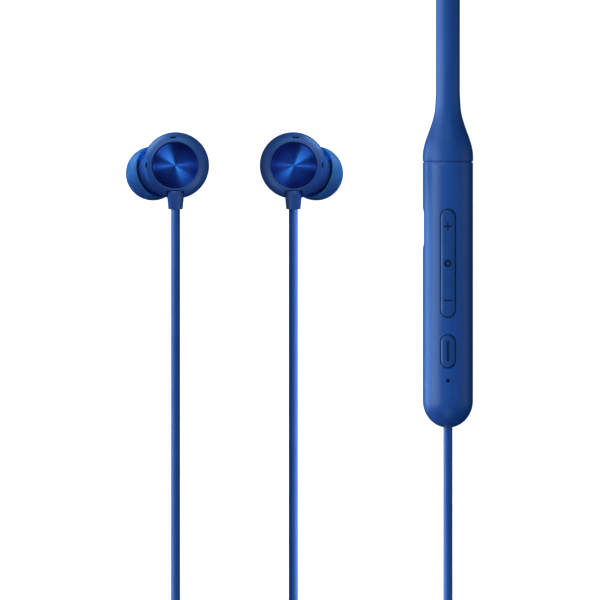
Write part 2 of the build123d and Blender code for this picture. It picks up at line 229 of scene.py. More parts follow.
def apply_modifiers(obj):
    """Puts the result of the object's modifiers into its mesh."""
    bpy.context.view_layer.update()
    graph = bpy.context.evaluated_depsgraph_get()
    result = obj.evaluated_get(graph)
    mesh = bpy.data.meshes.new_from_object(result, preserve_all_data_layers=True, depsgraph=graph)
    obj.modifiers.clear()
    obj.data = mesh


def boolean(obj, cutter, operation="DIFFERENCE"):
    modifier = obj.modifiers.new("cut", "BOOLEAN")
    modifier.solver = "EXACT"
    modifier.operation = operation
    modifier.object = cutter
    apply_modifiers(obj)
    bpy.data.objects.remove(cutter)


def bevel(obj, width, segments, angle):
    modifier = obj.modifiers.new("bevel", "BEVEL")
    modifier.width = width
    modifier.segments = segments
    modifier.limit_method = "ANGLE"
    modifier.angle_limit = math.radians(angle)
    modifier.use_clamp_overlap = True
    apply_modifiers(obj)


def smooth(obj, angle, weighted=False):
    """Smooth shading; edges that turn by more than the angle in degrees stay sharp."""
    obj.data.polygons.foreach_set("use_smooth", [True] * len(obj.data.polygons))
    obj.data.set_sharp_from_angle(angle=math.radians(angle))
    if weighted:
        modifier = obj.modifiers.new("weighted", "WEIGHTED_NORMAL")
        modifier.keep_sharp = True
        apply_modifiers(obj)


def set_down(obj, place, body, slot, node):
    """Moves a finished mesh into the CAD frame, gives it its look and body, and hides the CAD node that it stands
    for.
    """
    obj.data.transform(place)
    obj.data.update()
    obj.data.materials.clear()
    obj.data.materials.append(LOOKS[slot])
    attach(obj, body)
    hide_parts(node)


# ---- materials ----
MIX_A, MIX_B, MIX_OUT = 6, 7, 2  # places of the Mix node's colour sockets
GRAIN_LOW, GRAIN_HIGH = 0.3, 0.7  # where most of a noise texture's values lie


def node_tree(name):
    material = bpy.data.materials.new(name)
    material.use_nodes = True
    tree = material.node_tree
    return material, tree, tree.nodes["Principled BSDF"]


def set_inputs(node, **inputs):
    for key, value in inputs.items():
        node.inputs[key.replace("_", " ")].default_value = value


def add_node(tree, kind, **inputs):
    node = tree.nodes.new(kind)
    set_inputs(node, **inputs)
    return node


def surface_grain(tree, scale, detail=4.0):
    """Noise in the object's own coordinates; scale is in grains per millimetre."""
    place = tree.nodes.new("ShaderNodeTexCoord")
    noise = add_node(tree, "ShaderNodeTexNoise", Scale=scale / MM, Detail=detail, Roughness=0.6)
    tree.links.new(place.outputs["Object"], noise.inputs["Vector"])
    return noise


def ramp(tree, source, low, high, first=GRAIN_LOW, last=GRAIN_HIGH):
    """Colour ramp between two colours."""
    node = tree.nodes.new("ShaderNodeValToRGB")
    node.color_ramp.elements[0].position = first
    node.color_ramp.elements[0].color = (*low, 1)
    node.color_ramp.elements[1].position = last
    node.color_ramp.elements[1].color = (*high, 1)
    tree.links.new(source, node.inputs["Fac"])
    return node


def span(tree, source, low, high):
    """Noise value stretched to a range."""
    node = add_node(tree, "ShaderNodeMapRange", From_Min=GRAIN_LOW, From_Max=GRAIN_HIGH,
                    To_Min=low, To_Max=high)
    tree.links.new(source, node.inputs["Value"])
    return node.outputs["Result"]


def mix_colours(tree, source, blend_type):
    """Mix node whose first colour comes from a source."""
    node = tree.nodes.new("ShaderNodeMix")
    node.data_type = "RGBA"
    node.blend_type = blend_type
    tree.links.new(source, node.inputs[MIX_A])
    return node


def bump(tree, shader, source, strength, depth_mm):
    node = add_node(tree, "ShaderNodeBump", Strength=strength, Distance=depth_mm * MM)
    tree.links.new(source, node.inputs["Height"])
    tree.links.new(node.outputs["Normal"], shader.inputs["Normal"])


def moulded(name, colour, roughness, grain, relief, vary=0.06, wear=0.1, coat=0.0, sheen=0.0):
    """Moulded or coated plastic: fine grain, slight colour drift and paler edges."""
    material, tree, shader = node_tree(name)
    fine = surface_grain(tree, grain)
    broad = surface_grain(tree, 0.12, 2.0)
    darker = [c * (1 - vary) for c in colour]
    paler = [c * (1 + vary) for c in colour]
    drift = ramp(tree, broad.outputs["Fac"], darker, paler)
    edges = tree.nodes.new("ShaderNodeNewGeometry")
    worn = ramp(tree, edges.outputs["Pointiness"], (0, 0, 0), (1, 1, 1), 0.53, 0.62)
    mix = mix_colours(tree, drift.outputs["Color"], "MIX")
    mix.inputs[MIX_B].default_value = (*[min(1, c * 1.5 + 0.02) for c in colour], 1)
    amount = tree.nodes.new("ShaderNodeMath")
    amount.operation = "MULTIPLY"
    amount.inputs[1].default_value = wear
    tree.links.new(worn.outputs["Color"], amount.inputs[0])
    tree.links.new(amount.outputs[0], mix.inputs["Factor"])
    tree.links.new(mix.outputs[MIX_OUT], shader.inputs["Base Color"])
    rough = span(tree, fine.outputs["Fac"], roughness - 0.04, roughness + 0.04)
    tree.links.new(rough, shader.inputs["Roughness"])
    set_inputs(shader, Specular_Tint=(0.35, 0.72, 1.0, 1), Coat_Weight=coat, Coat_Roughness=0.25,
               Sheen_Weight=sheen, Sheen_Roughness=0.4, Sheen_Tint=(0.35, 0.5, 1.0, 1))
    bump(tree, shader, fine.outputs["Fac"], relief, 0.01)
    return material


def silicone(name, colour, roughness, through, scatter):
    """Translucent rubber with a dusty, uneven sheen."""
    material = moulded(name, colour, roughness, grain=4.0, relief=0.12, wear=0.05, sheen=0.2)
    set_inputs(material.node_tree.nodes["Principled BSDF"], Transmission_Weight=through, IOR=1.41,
               Subsurface_Weight=scatter, Subsurface_Radius=(0.3, 0.7, 1.5), Subsurface_Scale=3 * MM)
    return material


def metal(name, colour, roughness, streak=0.5):
    """Drawn metal with fine streaks and dull patches."""
    material, tree, shader = node_tree(name)
    place = tree.nodes.new("ShaderNodeTexCoord")
    stretch = add_node(tree, "ShaderNodeMapping", Scale=(1, 0.05, 1))
    streaks = add_node(tree, "ShaderNodeTexNoise", Scale=6 / MM, Detail=3.0)
    tree.links.new(place.outputs["Object"], stretch.inputs["Vector"])
    tree.links.new(stretch.outputs["Vector"], streaks.inputs["Vector"])
    dull = ramp(tree, streaks.outputs["Fac"], [c * 0.75 for c in colour], colour)
    tree.links.new(dull.outputs["Color"], shader.inputs["Base Color"])
    rough = span(tree, streaks.outputs["Fac"], roughness, roughness + 0.15)
    tree.links.new(rough, shader.inputs["Roughness"])
    set_inputs(shader, Metallic=1.0)
    bump(tree, shader, streaks.outputs["Fac"], streak * 0.3, 0.004)
    return material


def spun_lacquer(name):
    """Disc of spun metal under deep blue lacquer; its streaks follow the turned grooves, and painted shade darkens
    it towards the rim.
    """
    material, tree, shader = node_tree(name)
    uv = tree.nodes.new("ShaderNodeUVMap")
    uv.uv_map = "turned"
    across = add_node(tree, "ShaderNodeMapping", Scale=(0.4, 1, 1))
    grooves = add_node(tree, "ShaderNodeTexNoise", Scale=60.0, Detail=6.0)
    tree.links.new(uv.outputs["UV"], across.inputs["Vector"])
    tree.links.new(across.outputs["Vector"], grooves.inputs["Vector"])
    tint = ramp(tree, grooves.outputs["Fac"], (0.015, 0.10, 0.46), (0.03, 0.17, 0.60))
    # Painted shade: the base colour darkens from the middle towards the rim, so that the highlight looks brightest
    # in the middle.
    outwards = tree.nodes.new("ShaderNodeSeparateXYZ")
    tree.links.new(uv.outputs["UV"], outwards.inputs["Vector"])
    rim_shade = ramp(tree, outwards.outputs["Y"], (1.0, 1.0, 1.0), (0.30, 0.22, 0.36), 0.0, 0.85)
    rim_shaded = mix_colours(tree, tint.outputs["Color"], "MULTIPLY")
    set_inputs(rim_shaded, Factor=1.0)
    tree.links.new(rim_shade.outputs["Color"], rim_shaded.inputs[MIX_B])
    tree.links.new(rim_shaded.outputs[MIX_OUT], shader.inputs["Base Color"])
    set_inputs(shader, Metallic=1.0, Roughness=0.27, Anisotropic=1.0, Anisotropic_Rotation=0.25)
    tangent = tree.nodes.new("ShaderNodeTangent")
    tangent.direction_type = "UV_MAP"
    tangent.uv_map = "turned"
    tree.links.new(tangent.outputs["Tangent"], shader.inputs["Tangent"])
    bump(tree, shader, grooves.outputs["Fac"], 0.05, 0.002)
    return material


BLUE = (0.018, 0.075, 0.31)
LOOKS = {
    "band_silicone": moulded("soft blue silicone", BLUE, 0.42, grain=7, relief=0.2, sheen=0.12),
    "pod_plastic": moulded("soft-touch blue", BLUE, 0.37, grain=10, relief=0.22, sheen=0.10),
    "key_plastic": moulded("key blue", [c * 0.8 for c in BLUE], 0.37, grain=10, relief=0.15, sheen=0.08),
    "bud_plastic": moulded("housing blue", BLUE, 0.37, grain=10, relief=0.15, sheen=0.08),
    "spun_disc": spun_lacquer("spun blue disc"),
    "tip_silicone": silicone("tip silicone", (0.03, 0.16, 0.60), 0.46, 0.05, 0.95),
    "boot_rubber": moulded("boot rubber", BLUE, 0.40, grain=8, relief=0.2, sheen=0.1),
    "cable_jacket": moulded("cable jacket", BLUE, 0.36, grain=6, relief=0.1, sheen=0.1),
    "dark_window": moulded("smoked window", (0.001, 0.008, 0.06), 0.45, grain=3, relief=0.05, wear=0),
    "inner_plastic": moulded("black nylon", (0.02, 0.02, 0.024), 0.5, grain=5, relief=0.4),
    "inner_rubber": moulded("black rubber", (0.03, 0.03, 0.034), 0.6, grain=5, relief=0.3),
    "spring_metal": metal("oxidised wire", (0.32, 0.28, 0.25), 0.3),
    "steel": metal("stainless steel", (0.6, 0.6, 0.62), 0.25),
    "copper": metal("enamelled copper", (0.72, 0.30, 0.14), 0.3),
    "circuit_board": moulded("solder mask", (0.01, 0.09, 0.05), 0.35, grain=2, relief=0.2, vary=0.3,
                             coat=0.4),
    "chip_resin": moulded("chip resin", (0.015, 0.015, 0.016), 0.55, grain=12, relief=0.5),
    "battery_foil": metal("battery foil", (0.55, 0.56, 0.6), 0.35, streak=1.0),
    "foam": moulded("foam", (0.05, 0.05, 0.055), 0.9, grain=3, relief=1.0, vary=0.3),
    "magnet_plating": metal("nickel plating", (0.7, 0.69, 0.66), 0.15),
    "diaphragm_film": moulded("diaphragm film", (0.35, 0.31, 0.24), 0.25, grain=1, relief=0.2, coat=0.3),
}
MARK_INK = moulded("mark blue", (0.001, 0.006, 0.05), 0.6, grain=8, relief=0.1, wear=0)
# Painted shade: a near-black blue that stands for the shade inside the ring's vents and the microphone's pinhole.
PAINTED_HOLE_SHADE = moulded("painted hole shade", (0.003, 0.014, 0.07), 0.7, grain=6, relief=0.2, wear=0)


def dress_cad_nodes():
    """Gives each carried-over CAD node the procedural material of its slot; the microphone mesh gets painted shade
    instead.
    """
    slot_of = {s["node"]: s["material_slot"] for s in frame["record"]["subparts"]}
    for name, obj in frame["nodes"].items():
        obj.data.materials.clear()
        # The microphone mesh gets painted shade instead of its slot's steel, so that its pinhole looks dark.
        obj.data.materials.append(PAINTED_HOLE_SHADE if name == "microphone_mesh" else LOOKS[slot_of[name]])


# ---- camera ----
VIEW_WIDTH = 0.135  # metres across the picture
VIEW_X = ARM_X - 33.28 * MM
VIEW_Y = SEAM_Y - 31.05 * MM
CAMERA_Z = 0.5
AIM_Z = 0.006  # height that the lights are aimed at


def make_camera():
    camera = bpy.data.cameras.new("camera")
    camera.type = "ORTHO"
    camera.ortho_scale = VIEW_WIDTH
    obj = bpy.data.objects.new("camera", camera)
    obj.location = (VIEW_X, VIEW_Y, CAMERA_Z)
    bpy.context.scene.collection.objects.link(obj)
    bpy.context.scene.camera = obj


# ---- cables: the route's points are those of the CAD tubes, in metres, with Y from the seam ----
TABLE_Z = 0.00104  # centre line of a cable that lies on the floor
CABLE_TURNS = {
    "right": [(0.0700, -0.1480), (0.03523, -0.1480)],
    "left": [(-0.0700, -0.1210), (-0.0480, -0.1430), (-0.0130, -0.1430), (0.00869, -0.1210)],
}
BUD_RAMP_Z = 0.0065  # height of the route's point halfway up to the earbud


def make_cable(side):
    bud = bud_centre(side)
    end = bud + Vector(disc_face(side)["axis"]) * BOOT_RISE * MM
    pod_x = SIDES[side] * ARM_X
    points = [(pod_x, -0.050, ARM_Z), (pod_x, -0.072, ARM_Z), (pod_x, -0.098, TABLE_Z)]
    points += [(x, y, TABLE_Z) for x, y in CABLE_TURNS[side]]
    points += [(end.x, -0.095, TABLE_Z), (end.x, -0.058, BUD_RAMP_Z), (end.x, -0.027, end.z)]
    points += [(end.x, bud.y - SEAM_Y - BOOT_START * MM, end.z)]
    curve = bpy.data.curves.new(f"{side}_earbud_cable", "CURVE")
    curve.dimensions = "3D"
    spline = curve.splines.new("NURBS")
    spline.points.add(len(points) - 1)
    for point, (x, y, z) in zip(spline.points, points):
        point.co = (x, y + SEAM_Y, z, 1)
    spline.order_u = 3
    spline.use_endpoint_u = True
    spline.resolution_u = 24
    curve.bevel_depth = CABLE_R * MM
    curve.bevel_resolution = 10
    curve.use_fill_caps = True
    curve.materials.append(LOOKS["cable_jacket"])
    obj = bpy.data.objects.new(f"{side}_earbud_cable", curve)
    bpy.context.scene.collection.objects.link(obj)
    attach(obj, f"{side}_arm")
    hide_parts(f"{side}_cable")


# ---- neckband ----
# Distance above the seam and radius; the first and last points only steer the curve.
FLARE_PROFILE = [(-1.0, 5.64), (0.1, 5.68), (1.35, 5.69), (2.7, 5.56), (4.05, 5.27), (5.4, 4.84),
                 (6.75, 4.34), (8.1, 3.86), (9.45, 3.44), (10.8, 3.10), (12.5, 2.88), (16.0, 2.71),
                 (20.0, BAND_R)]


def flare_radius(distance):
    """Band radius at a distance above the seam, on a smooth curve through the profile's points."""
    if distance >= FLARE_LENGTH:
        return BAND_R
    points = FLARE_PROFILE
    k = max(i for i in range(len(points) - 1) if points[i][0] <= distance)
    k = min(max(k, 1), len(points) - 3)
    (x0, y0), (x1, y1), (x2, y2), (x3, y3) = points[k - 1 : k + 3]
    t = (distance - x1) / (x2 - x1)
    rise_1 = (y2 - y0) / (x2 - x0) * (x2 - x1)
    rise_2 = (y3 - y1) / (x3 - x1) * (x2 - x1)
    near = y1 * (2 * t**3 - 3 * t**2 + 1) + rise_1 * (t**3 - 2 * t**2 + t)
    return near + y2 * (3 * t**2 - 2 * t**3) + rise_2 * (t**3 - t**2)


def band_bends():
    """Radius and length of each of the two bends that bring the band down to the floor."""
    run, drop = ARM_STRAIGHT - FLARE_LENGTH, ARM_Z / MM - BAND_R
    radius = (run**2 + drop**2) / (4 * drop)
    return radius, radius * 2 * math.atan2(drop, run)


def band_point(distance):
    """Centre line of the right half in millimetres: (x, y above the seam, z) and its direction."""
    arm_x, arm_z = ARM_X / MM, ARM_Z / MM
    if distance <= FLARE_LENGTH:
        return Vector((arm_x, distance, arm_z)), Vector((0, 1, 0))
    bend_r, bend_length = band_bends()
    along = distance - FLARE_LENGTH
    if along <= 2 * bend_length:
        upper = along <= bend_length
        angle = (along if upper else 2 * bend_length - along) / bend_r
        run, drop = bend_r * math.sin(angle), bend_r * (1 - math.cos(angle))
        y, z = (FLARE_LENGTH + run, arm_z - drop) if upper else (ARM_STRAIGHT - run, BAND_R + drop)
        return Vector((arm_x, y, z)), Vector((0, math.cos(angle), -math.sin(angle)))
    angle = (along - 2 * bend_length) / arm_x
    if angle >= math.pi / 2:
        return Vector((0, ARM_STRAIGHT + arm_x, BAND_R)), Vector((-1, 0, 0))
    return (Vector((arm_x * math.cos(angle), ARM_STRAIGHT + arm_x * math.sin(angle), BAND_R)),
            Vector((-math.sin(angle), math.cos(angle), 0)))


def half_band_length():
    return FLARE_LENGTH + 2 * band_bends()[1] + ARM_X / MM * math.pi / 2


def band_stations(first, rounding):
    """Distances from the seam, close together at the rounded rim and in the flare."""
    turns = [math.pi / 2 * k / RIM_STEPS for k in range(RIM_STEPS + 1)]
    stations = [first + rounding * (1 - math.cos(turn)) for turn in turns]
    while stations[-1] < FLARE_LENGTH + 2:
        stations.append(stations[-1] + 0.4)
    last = half_band_length()
    steps = math.ceil((last - stations[-1]) / 1.2)
    base = stations[-1]
    return stations + [base + (last - base) * k / steps for k in range(1, steps + 1)]


def band_rings(radius_at, first, rounding):
    """(distance, radius) of each ring; a rounded rim starts with a collar that closes the seam."""
    if not rounding:
        return [(distance, radius_at(distance)) for distance in band_stations(first, 0.01)]
    rings = [(-SEAM_OVERLAP, SEAM_LIP_R), (first, SEAM_LIP_R)]
    for k, distance in enumerate(band_stations(first, rounding)):
        inset = rounding * (1 - math.sin(math.pi / 2 * k / RIM_STEPS)) if k <= RIM_STEPS else 0
        rings.append((distance, radius_at(distance) - inset))
    return rings


def band_half(name, side, radius_at, rise, first, rounding):
    """Tube along one half of the band; radius_at gives its radius at each distance."""
    ring = 72
    vertices, faces = [], []
    stations = band_rings(radius_at, first, rounding)
    for distance, radius in stations:
        centre, along = band_point(max(distance, 0))
        if distance < 0:
            centre = centre + along * distance
        up = Vector((0, 0, 1))
        across = along.cross(up).normalized()
        up = across.cross(along).normalized()
        centre = centre + up * rise
        for step in range(ring):
            angle = math.tau * step / ring
            vertices.append(centre + across * radius * math.cos(angle) + up * radius * math.sin(angle))
    for k in range(len(stations) - 1):
        faces += ring_faces(k * ring, (k + 1) * ring, ring)
    faces.append(tuple(range(ring)))
    faces.append(tuple(range((len(stations) - 1) * ring, len(stations) * ring)))
    obj = tidy_mesh(new_object(name, vertices, faces))
    if SIDES[side] < 0:
        obj.data.transform(Matrix.Scale(-1, 4, (1, 0, 0)))
        obj.data.flip_normals()
    return obj


def bend_with_arm(obj):
    """Puts the half's placement into its mesh."""
    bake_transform(obj)


def make_band():
    parts = {  # look, radius, rise over the centre line, first distance and rounding of the rim
        "sleeve": ("band_silicone", flare_radius, 0.0, SEAM_GAP, 0.25),
        "wire": ("spring_metal", lambda _: 0.45, -1.0, -2.5, 0.0),
        "leads": ("cable_jacket", lambda _: 0.8, 0.75, -6.5, 0.0),
    }
    nodes = {"sleeve": "neckband_sleeve", "wire": "memory_wire", "leads": "band_leads"}
    for part, (look, radius_at, rise, first, rounding) in parts.items():
        for side in SIDES:
            obj = band_half(f"{side}_band_{part}", side, radius_at, rise, first, rounding)
            smooth(obj, 50)
            obj.data.transform(Matrix.Translation((0, SEAM_Y, 0)) @ Matrix.Scale(MM, 4))
            obj.data.materials.append(LOOKS[look])
            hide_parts(nodes[part])
            bend_with_arm(obj)


# ---- pods ----
def pod_outline():
    """Wall of the pod as a closed outline: barrel, elliptical end, hole, and back inside."""
    barrel_end = POD_LENGTH - POD_NOSE

    def nose(radius, length, steps):
        last = math.acos(CABLE_HOLE_R / radius)
        angles = [last * k / steps for k in range(steps + 1)]
        return [(radius * math.cos(angle), barrel_end + length * math.sin(angle)) for angle in angles]

    steps = 90
    barrel = [(POD_R, SEAM_GAP + (barrel_end - SEAM_GAP) * k / steps) for k in range(steps)]
    inner = POD_R - WALL
    lip = [(SEAM_LIP_R, -SEAM_OVERLAP), (SEAM_LIP_R, SEAM_GAP)]
    outside = lip + barrel + nose(POD_R, POD_NOSE, 22)
    inside = list(reversed(nose(inner, POD_NOSE - WALL, 10))) + [(inner, -SEAM_OVERLAP)]
    return outside + inside


def slot_cutter(width, length, station, low, high):
    """Round-ended cutter between two heights, long side along local Z."""
    matrix = upright(station) @ quarter_turn("Z")
    return prism("cutter", stadium_outline(width, length), -high, -low, matrix)


def port_cutter():
    matrix = Matrix.Translation((0, 0, USB_AT)) @ quarter_turn("Y")
    return prism("cutter", stadium_outline(USB_HEIGHT, USB_WIDTH), -7, -3, matrix)


def pinhole_cutter():
    return prism("cutter", circle_outline(PINHOLE_R, 32), -7, -4, upright(PINHOLE_AT))


def make_pods():
    """Four half shells; every cutter runs from inside the wall to outside the pod."""
    low, high, gaps = 3, 8, 2 * KEY_GAP
    front_cutters = [slot_cutter(STRIP_WIDTH + gaps, STRIP_LENGTH + gaps, STRIP_AT, low, high),
                     slot_cutter(POWER_WIDTH + gaps, POWER_LENGTH + gaps, POWER_AT, low, high),
                     pinhole_cutter(), port_cutter()]
    halves = {
        "control_front": ("right", True, front_cutters),
        "control_rear": ("right", False, [port_cutter()]),
        "battery_front": ("left", True, []),
        "battery_rear": ("left", False, []),
    }
    for name, (side, front, cutters) in halves.items():
        obj = lathe(f"{name}_cover", pod_outline(), steps=96, start=0 if front else 180, arc=180)
        for cutter in cutters:
            boolean(obj, cutter)
        bevel(obj, 0.10, 2, 45)
        smooth(obj, 40, weighted=True)
        set_down(obj, pod_place(side), f"{side}_arm", "pod_plastic", f"{name}_shell")


# ---- keys ----
KEY_TOP = POD_R + KEY_PROUD


def key_mesh(name, width, length, station, underside):
    """Cap that follows the pod's curve on straight sides, with its upper edge rounded over."""
    steps = 8
    turns = [math.pi / 2 * k / (steps - 1) for k in range(steps)]
    insets = [(KEY_ROUNDING * (1 - math.cos(turn)), KEY_EDGE_DROP * (1 - math.sin(turn))) for turn in turns]
    middle = width / 2 - 0.01
    insets += [(KEY_ROUNDING + (middle - KEY_ROUNDING) * k / steps, 0) for k in range(1, steps + 1)]
    vertices = [(across, underside, station + along) for along, across in stadium_outline(width, length)]
    count = len(vertices)
    for inset, drop in insets:
        for along, across in stadium_outline(width - 2 * inset, length - 2 * inset):
            vertices.append((across, math.sqrt(KEY_TOP**2 - across**2) - drop, station + along))
    faces = [tuple(range(count)), tuple(range(len(insets) * count, (len(insets) + 1) * count))]
    for ring in range(len(insets)):
        faces += ring_faces(ring * count, (ring + 1) * count, count)
    return tidy_mesh(new_object(name, vertices, faces))


def mark_cutter(kind, station):
    """Shallow cutter for the plus, ring or minus mark."""
    low, high = KEY_TOP - MARK_DEPTH, KEY_TOP + 1
    place = upright(station)
    if kind == "ring":
        mark = prism("mark", circle_outline(RING_MARK_R, 40), -high, -low, place)
        boolean(mark, prism("hole", circle_outline(RING_MARK_HOLE_R, 32), -high - 1, -low + 1, place))
        return mark
    mark = prism("mark", stadium_outline(MARK_WIDTH, MARK_LENGTH, 6), -high, -low, place)
    if kind == "plus":
        bar = stadium_outline(MARK_WIDTH, MARK_UPRIGHT, 6)
        turned = place @ quarter_turn("Z")
        boolean(mark, prism("bar", bar, -high - 0.01, -low + 0.001, turned), "UNION")
    return mark


def make_keys():
    place = pod_place("right")
    strip = key_mesh("volume_strip_cap", STRIP_WIDTH, STRIP_LENGTH, STRIP_AT, STRIP_UNDERSIDE)
    marks = {"plus": STRIP_AT - STRIP_PITCH, "ring": STRIP_AT, "minus": STRIP_AT + STRIP_PITCH}
    for kind, station in marks.items():
        boolean(strip, mark_cutter(kind, station))
    smooth(strip, 30, weighted=True)
    set_down(strip, place, "volume_rocker", "key_plastic", "volume_strip")
    colour_marks(strip, place)
    power = key_mesh("power_key_cap", POWER_WIDTH, POWER_LENGTH, POWER_AT, POWER_UNDERSIDE)
    low = KEY_TOP - BAR_DEPTH
    boolean(power, slot_cutter(BAR_WIDTH, BAR_LENGTH, POWER_AT, low, 8))
    smooth(power, 30, weighted=True)
    set_down(power, place, "power_button", "key_plastic", "power_key")
    window = prism("power_window", stadium_outline(WINDOW_WIDTH, WINDOW_LENGTH), WINDOW_DEPTH - KEY_TOP, -low,
                   upright(POWER_AT) @ quarter_turn("Z"))
    smooth(window, 30)
    set_down(window, place, "power_button", "dark_window", "status_window")


def colour_marks(obj, place):
    """Floor and walls of the engraved marks are darker than the key; its edges keep their colour."""
    back = place.inverted()
    obj.data.materials.append(MARK_INK)
    for face in obj.data.polygons:
        local = back @ face.center
        inside = abs(local.x) < STRIP_WIDTH / 2 - 0.4 and abs(local.z - STRIP_AT) < STRIP_LENGTH / 2 - 1
        if inside and KEY_TOP - 1 < math.hypot(local.x, local.y) < KEY_TOP - 0.02:
            face.material_index = 1


# ---- earbuds ----
def arc_points(centre, radius, first, last, steps):
    """Points on a circle in the (radius, height) plane, angles in degrees."""
    points = []
    for k in range(steps + 1):
        angle = math.radians(first + (last - first) * k / steps)
        points.append((centre[0] + radius * math.cos(angle), centre[1] + radius * math.sin(angle)))
    return points


def hermite(points, start_slope, end_slope):
    """Smooth curve through points; slopes are directions at its two ends."""
    steps = 10
    tangents = []
    for k, (x, y) in enumerate(points):
        if k == 0 or k == len(points) - 1:
            slope = Vector(start_slope if k == 0 else end_slope).normalized()
            other = points[1] if k == 0 else points[-2]
            reach = (Vector(other) - Vector((x, y))).length
            tangents.append(slope * reach)
        else:
            tangents.append((Vector(points[k + 1]) - Vector(points[k - 1])) / 2)
    curve = [tuple(points[0])]
    for k in range(len(points) - 1):
        a, b = Vector(points[k]), Vector(points[k + 1])
        for step in range(1, steps + 1):
            t = step / steps
            point = a * (2 * t**3 - 3 * t**2 + 1) + tangents[k] * (t**3 - 2 * t**2 + t)
            point = point + b * (3 * t**2 - 2 * t**3) + tangents[k + 1] * (t**3 - t**2)
            curve.append((point.x, point.y))
    return curve


def vent_cutter(angle, radius, floor, width, length):
    """Small slot in the ring's flank, along its edge; angle is its place round the disc."""
    turn = Matrix.Rotation(math.radians(angle), 4, "Z")
    matrix = turn @ Matrix.Translation((radius, 0, floor)) @ quarter_turn("Z")
    return prism("vent", stadium_outline(width, length, 10), 0, 4, matrix)


def paint_vent_shade(obj, place, vents):
    """Walls and floor of the vents are darker than the ring: painted shade."""
    back = place.inverted()
    margin = 0.02
    obj.data.materials.append(PAINTED_HOLE_SHADE)
    for face in obj.data.polygons:
        for angle, radius, floor, width, length, top in vents:
            point = Matrix.Rotation(math.radians(-angle), 3, "Z") @ (back @ face.center)
            inside = abs(point.x - radius) < width / 2 + margin and abs(point.y) < length / 2 + margin
            if inside and floor - margin < point.z < top:
                face.material_index = 1


def make_ring(side):
    """Rear housing: rounded flank, raised lip, and a floor under the disc."""
    base = SPLIT_AT + SPLIT_GAP
    flank = hermite([(HOUSING_R, base), (7.4, 0.5), (6.75, 1.5), (5.65, 2.2)], (0, 1), (-1, 0.25))
    lip = [(5.58, 2.28), (5.5, 2.34), (5.42, 2.35), (5.33, 2.33), (5.25, 2.26), (5.2, 2.15)]
    inside = [(5.2, 1.45), (5.16, 1.35), (0, 1.35), (0, 0.75), (6.2, 0.75), (6.6, base)]
    ring = lathe(f"{side}_bud_ring", flank + lip + inside, steps=160)
    sign = SIDES[side]
    # Angle round the disc, radius, floor, width, length, and height below which its walls get painted shade.
    vents = [(90 - sign * 4, 6.33, 1.2, 0.34, 1.35, 1.75), (90 - sign * 89, 6.52, 1.0, 0.34, 1.15, 1.6)]
    for angle, radius, floor, width, length, _ in vents:
        boolean(ring, vent_cutter(angle, radius, floor, width, length))
    boolean(ring, boot_pocket())
    boolean(ring, boot_notch())
    smooth(ring, 45, weighted=True)
    place = bud_place(side)
    set_down(ring, place, f"{side}_arm", "bud_plastic", f"{side}_rear_housing")
    paint_vent_shade(ring, place, vents)


def boot_pocket():
    return prism("pocket", circle_outline(BOOT_POCKET_R), 5.58, 10, upright(BOOT_RISE))


def boot_notch():
    """Opening above the boot, so that the boot shows in full width up to the lip."""
    half, near, far = BOOT_POCKET_R, -BOOT_START, -9
    return prism("notch", [(-half, far), (half, far), (half, near), (-half, near)], BOOT_RISE, 3.0)


def disc_drop(radius):
    """How far the disc's surface lies below its middle at a radius."""
    return DISC_SLOPE * radius**2 / (2 * DISC_R)


def make_disc(side):
    """Shallow dome with polar coordinates on its top for the turned grooves, then edge and base."""
    rings, steps = 40, 180
    first, last = 0.02, DISC_R - 0.06
    radii = [first + (last - first) * k / rings for k in range(rings + 1)]
    levels = [(radius, DISC_TOP - 0.1 - disc_drop(radius)) for radius in radii]
    levels += [(DISC_R, DISC_TOP - 0.15 - disc_drop(DISC_R)), (DISC_R, 1.38)]
    angles = [math.tau * step / steps for step in range(steps)]
    vertices = []
    for radius, height in levels:
        vertices += [(radius * math.cos(angle), radius * math.sin(angle), height) for angle in angles]

    def walls(ring):
        inner, outer = ring * steps, (ring + 1) * steps
        pairs = [(step, (step + 1) % steps) for step in range(steps)]
        return [(inner + step, outer + step, outer + after, inner + after) for step, after in pairs]

    faces, uvs = [], []
    for ring in range(rings):
        faces += walls(ring)
        low, high = ring / rings, (ring + 1) / rings
        for step in range(steps):
            left, right = step / steps, (step + 1) / steps
            uvs += [(left, low), (left, high), (right, high), (right, low)]
    faces.append(tuple(reversed(range(steps))))
    for ring in (rings, rings + 1):
        faces += walls(ring)
    faces.append(tuple(reversed(range((rings + 2) * steps, (rings + 3) * steps))))
    obj = new_object(f"{side}_spun_disc", vertices, faces)
    layer = obj.data.uv_layers.new(name="turned")
    for loop, uv in enumerate(uvs):
        layer.data[loop].uv = uv
    smooth(obj, 30)
    set_down(obj, bud_place(side), f"{side}_arm", "spun_disc", f"{side}_face_plate")


def make_bowl(side):
    """Front half of the housing with its angled drum and barbed nozzle."""
    top = SPLIT_AT - SPLIT_GAP
    bowl = hermite([(HOUSING_R, top), (7.05, -2.3), (4.9, -4.7), (0.0, -5.8)], (0, -1), (-1, 0))
    obj = lathe(f"{side}_bud_bowl", bowl + [(0.0, top)], steps=128)
    chamfer, rounding = 1.1, 0.3
    drum = [(NECK_R - chamfer, NECK_START - chamfer), (NECK_R, NECK_START), (NECK_R, NECK_END - rounding)]
    drum += arc_points((NECK_R - rounding, NECK_END - rounding), rounding, 15, 90, 5)
    barb = [(2.75, NECK_END), (2.6, NECK_END + 0.15), (2.6, 9.3), (2.7, 9.5), (2.88, 9.75), (2.9, 9.95),
            (2.8, 10.2), (2.5, 11.3), (2.4, 11.45), (2.2, 11.5)]
    stem = [(0, 3.0)] + drum + barb + [(1.7, 11.5), (1.7, 10.5), (0, 10.5)]
    nozzle = lathe("stem", stem, steps=96)
    nozzle.data.transform(bud_place(side).inverted() @ nozzle_place(side))
    boolean(obj, nozzle, "UNION")
    boolean(obj, boot_pocket())
    smooth(obj, 40, weighted=True)
    set_down(obj, bud_place(side), f"{side}_arm", "bud_plastic", f"{side}_front_housing")


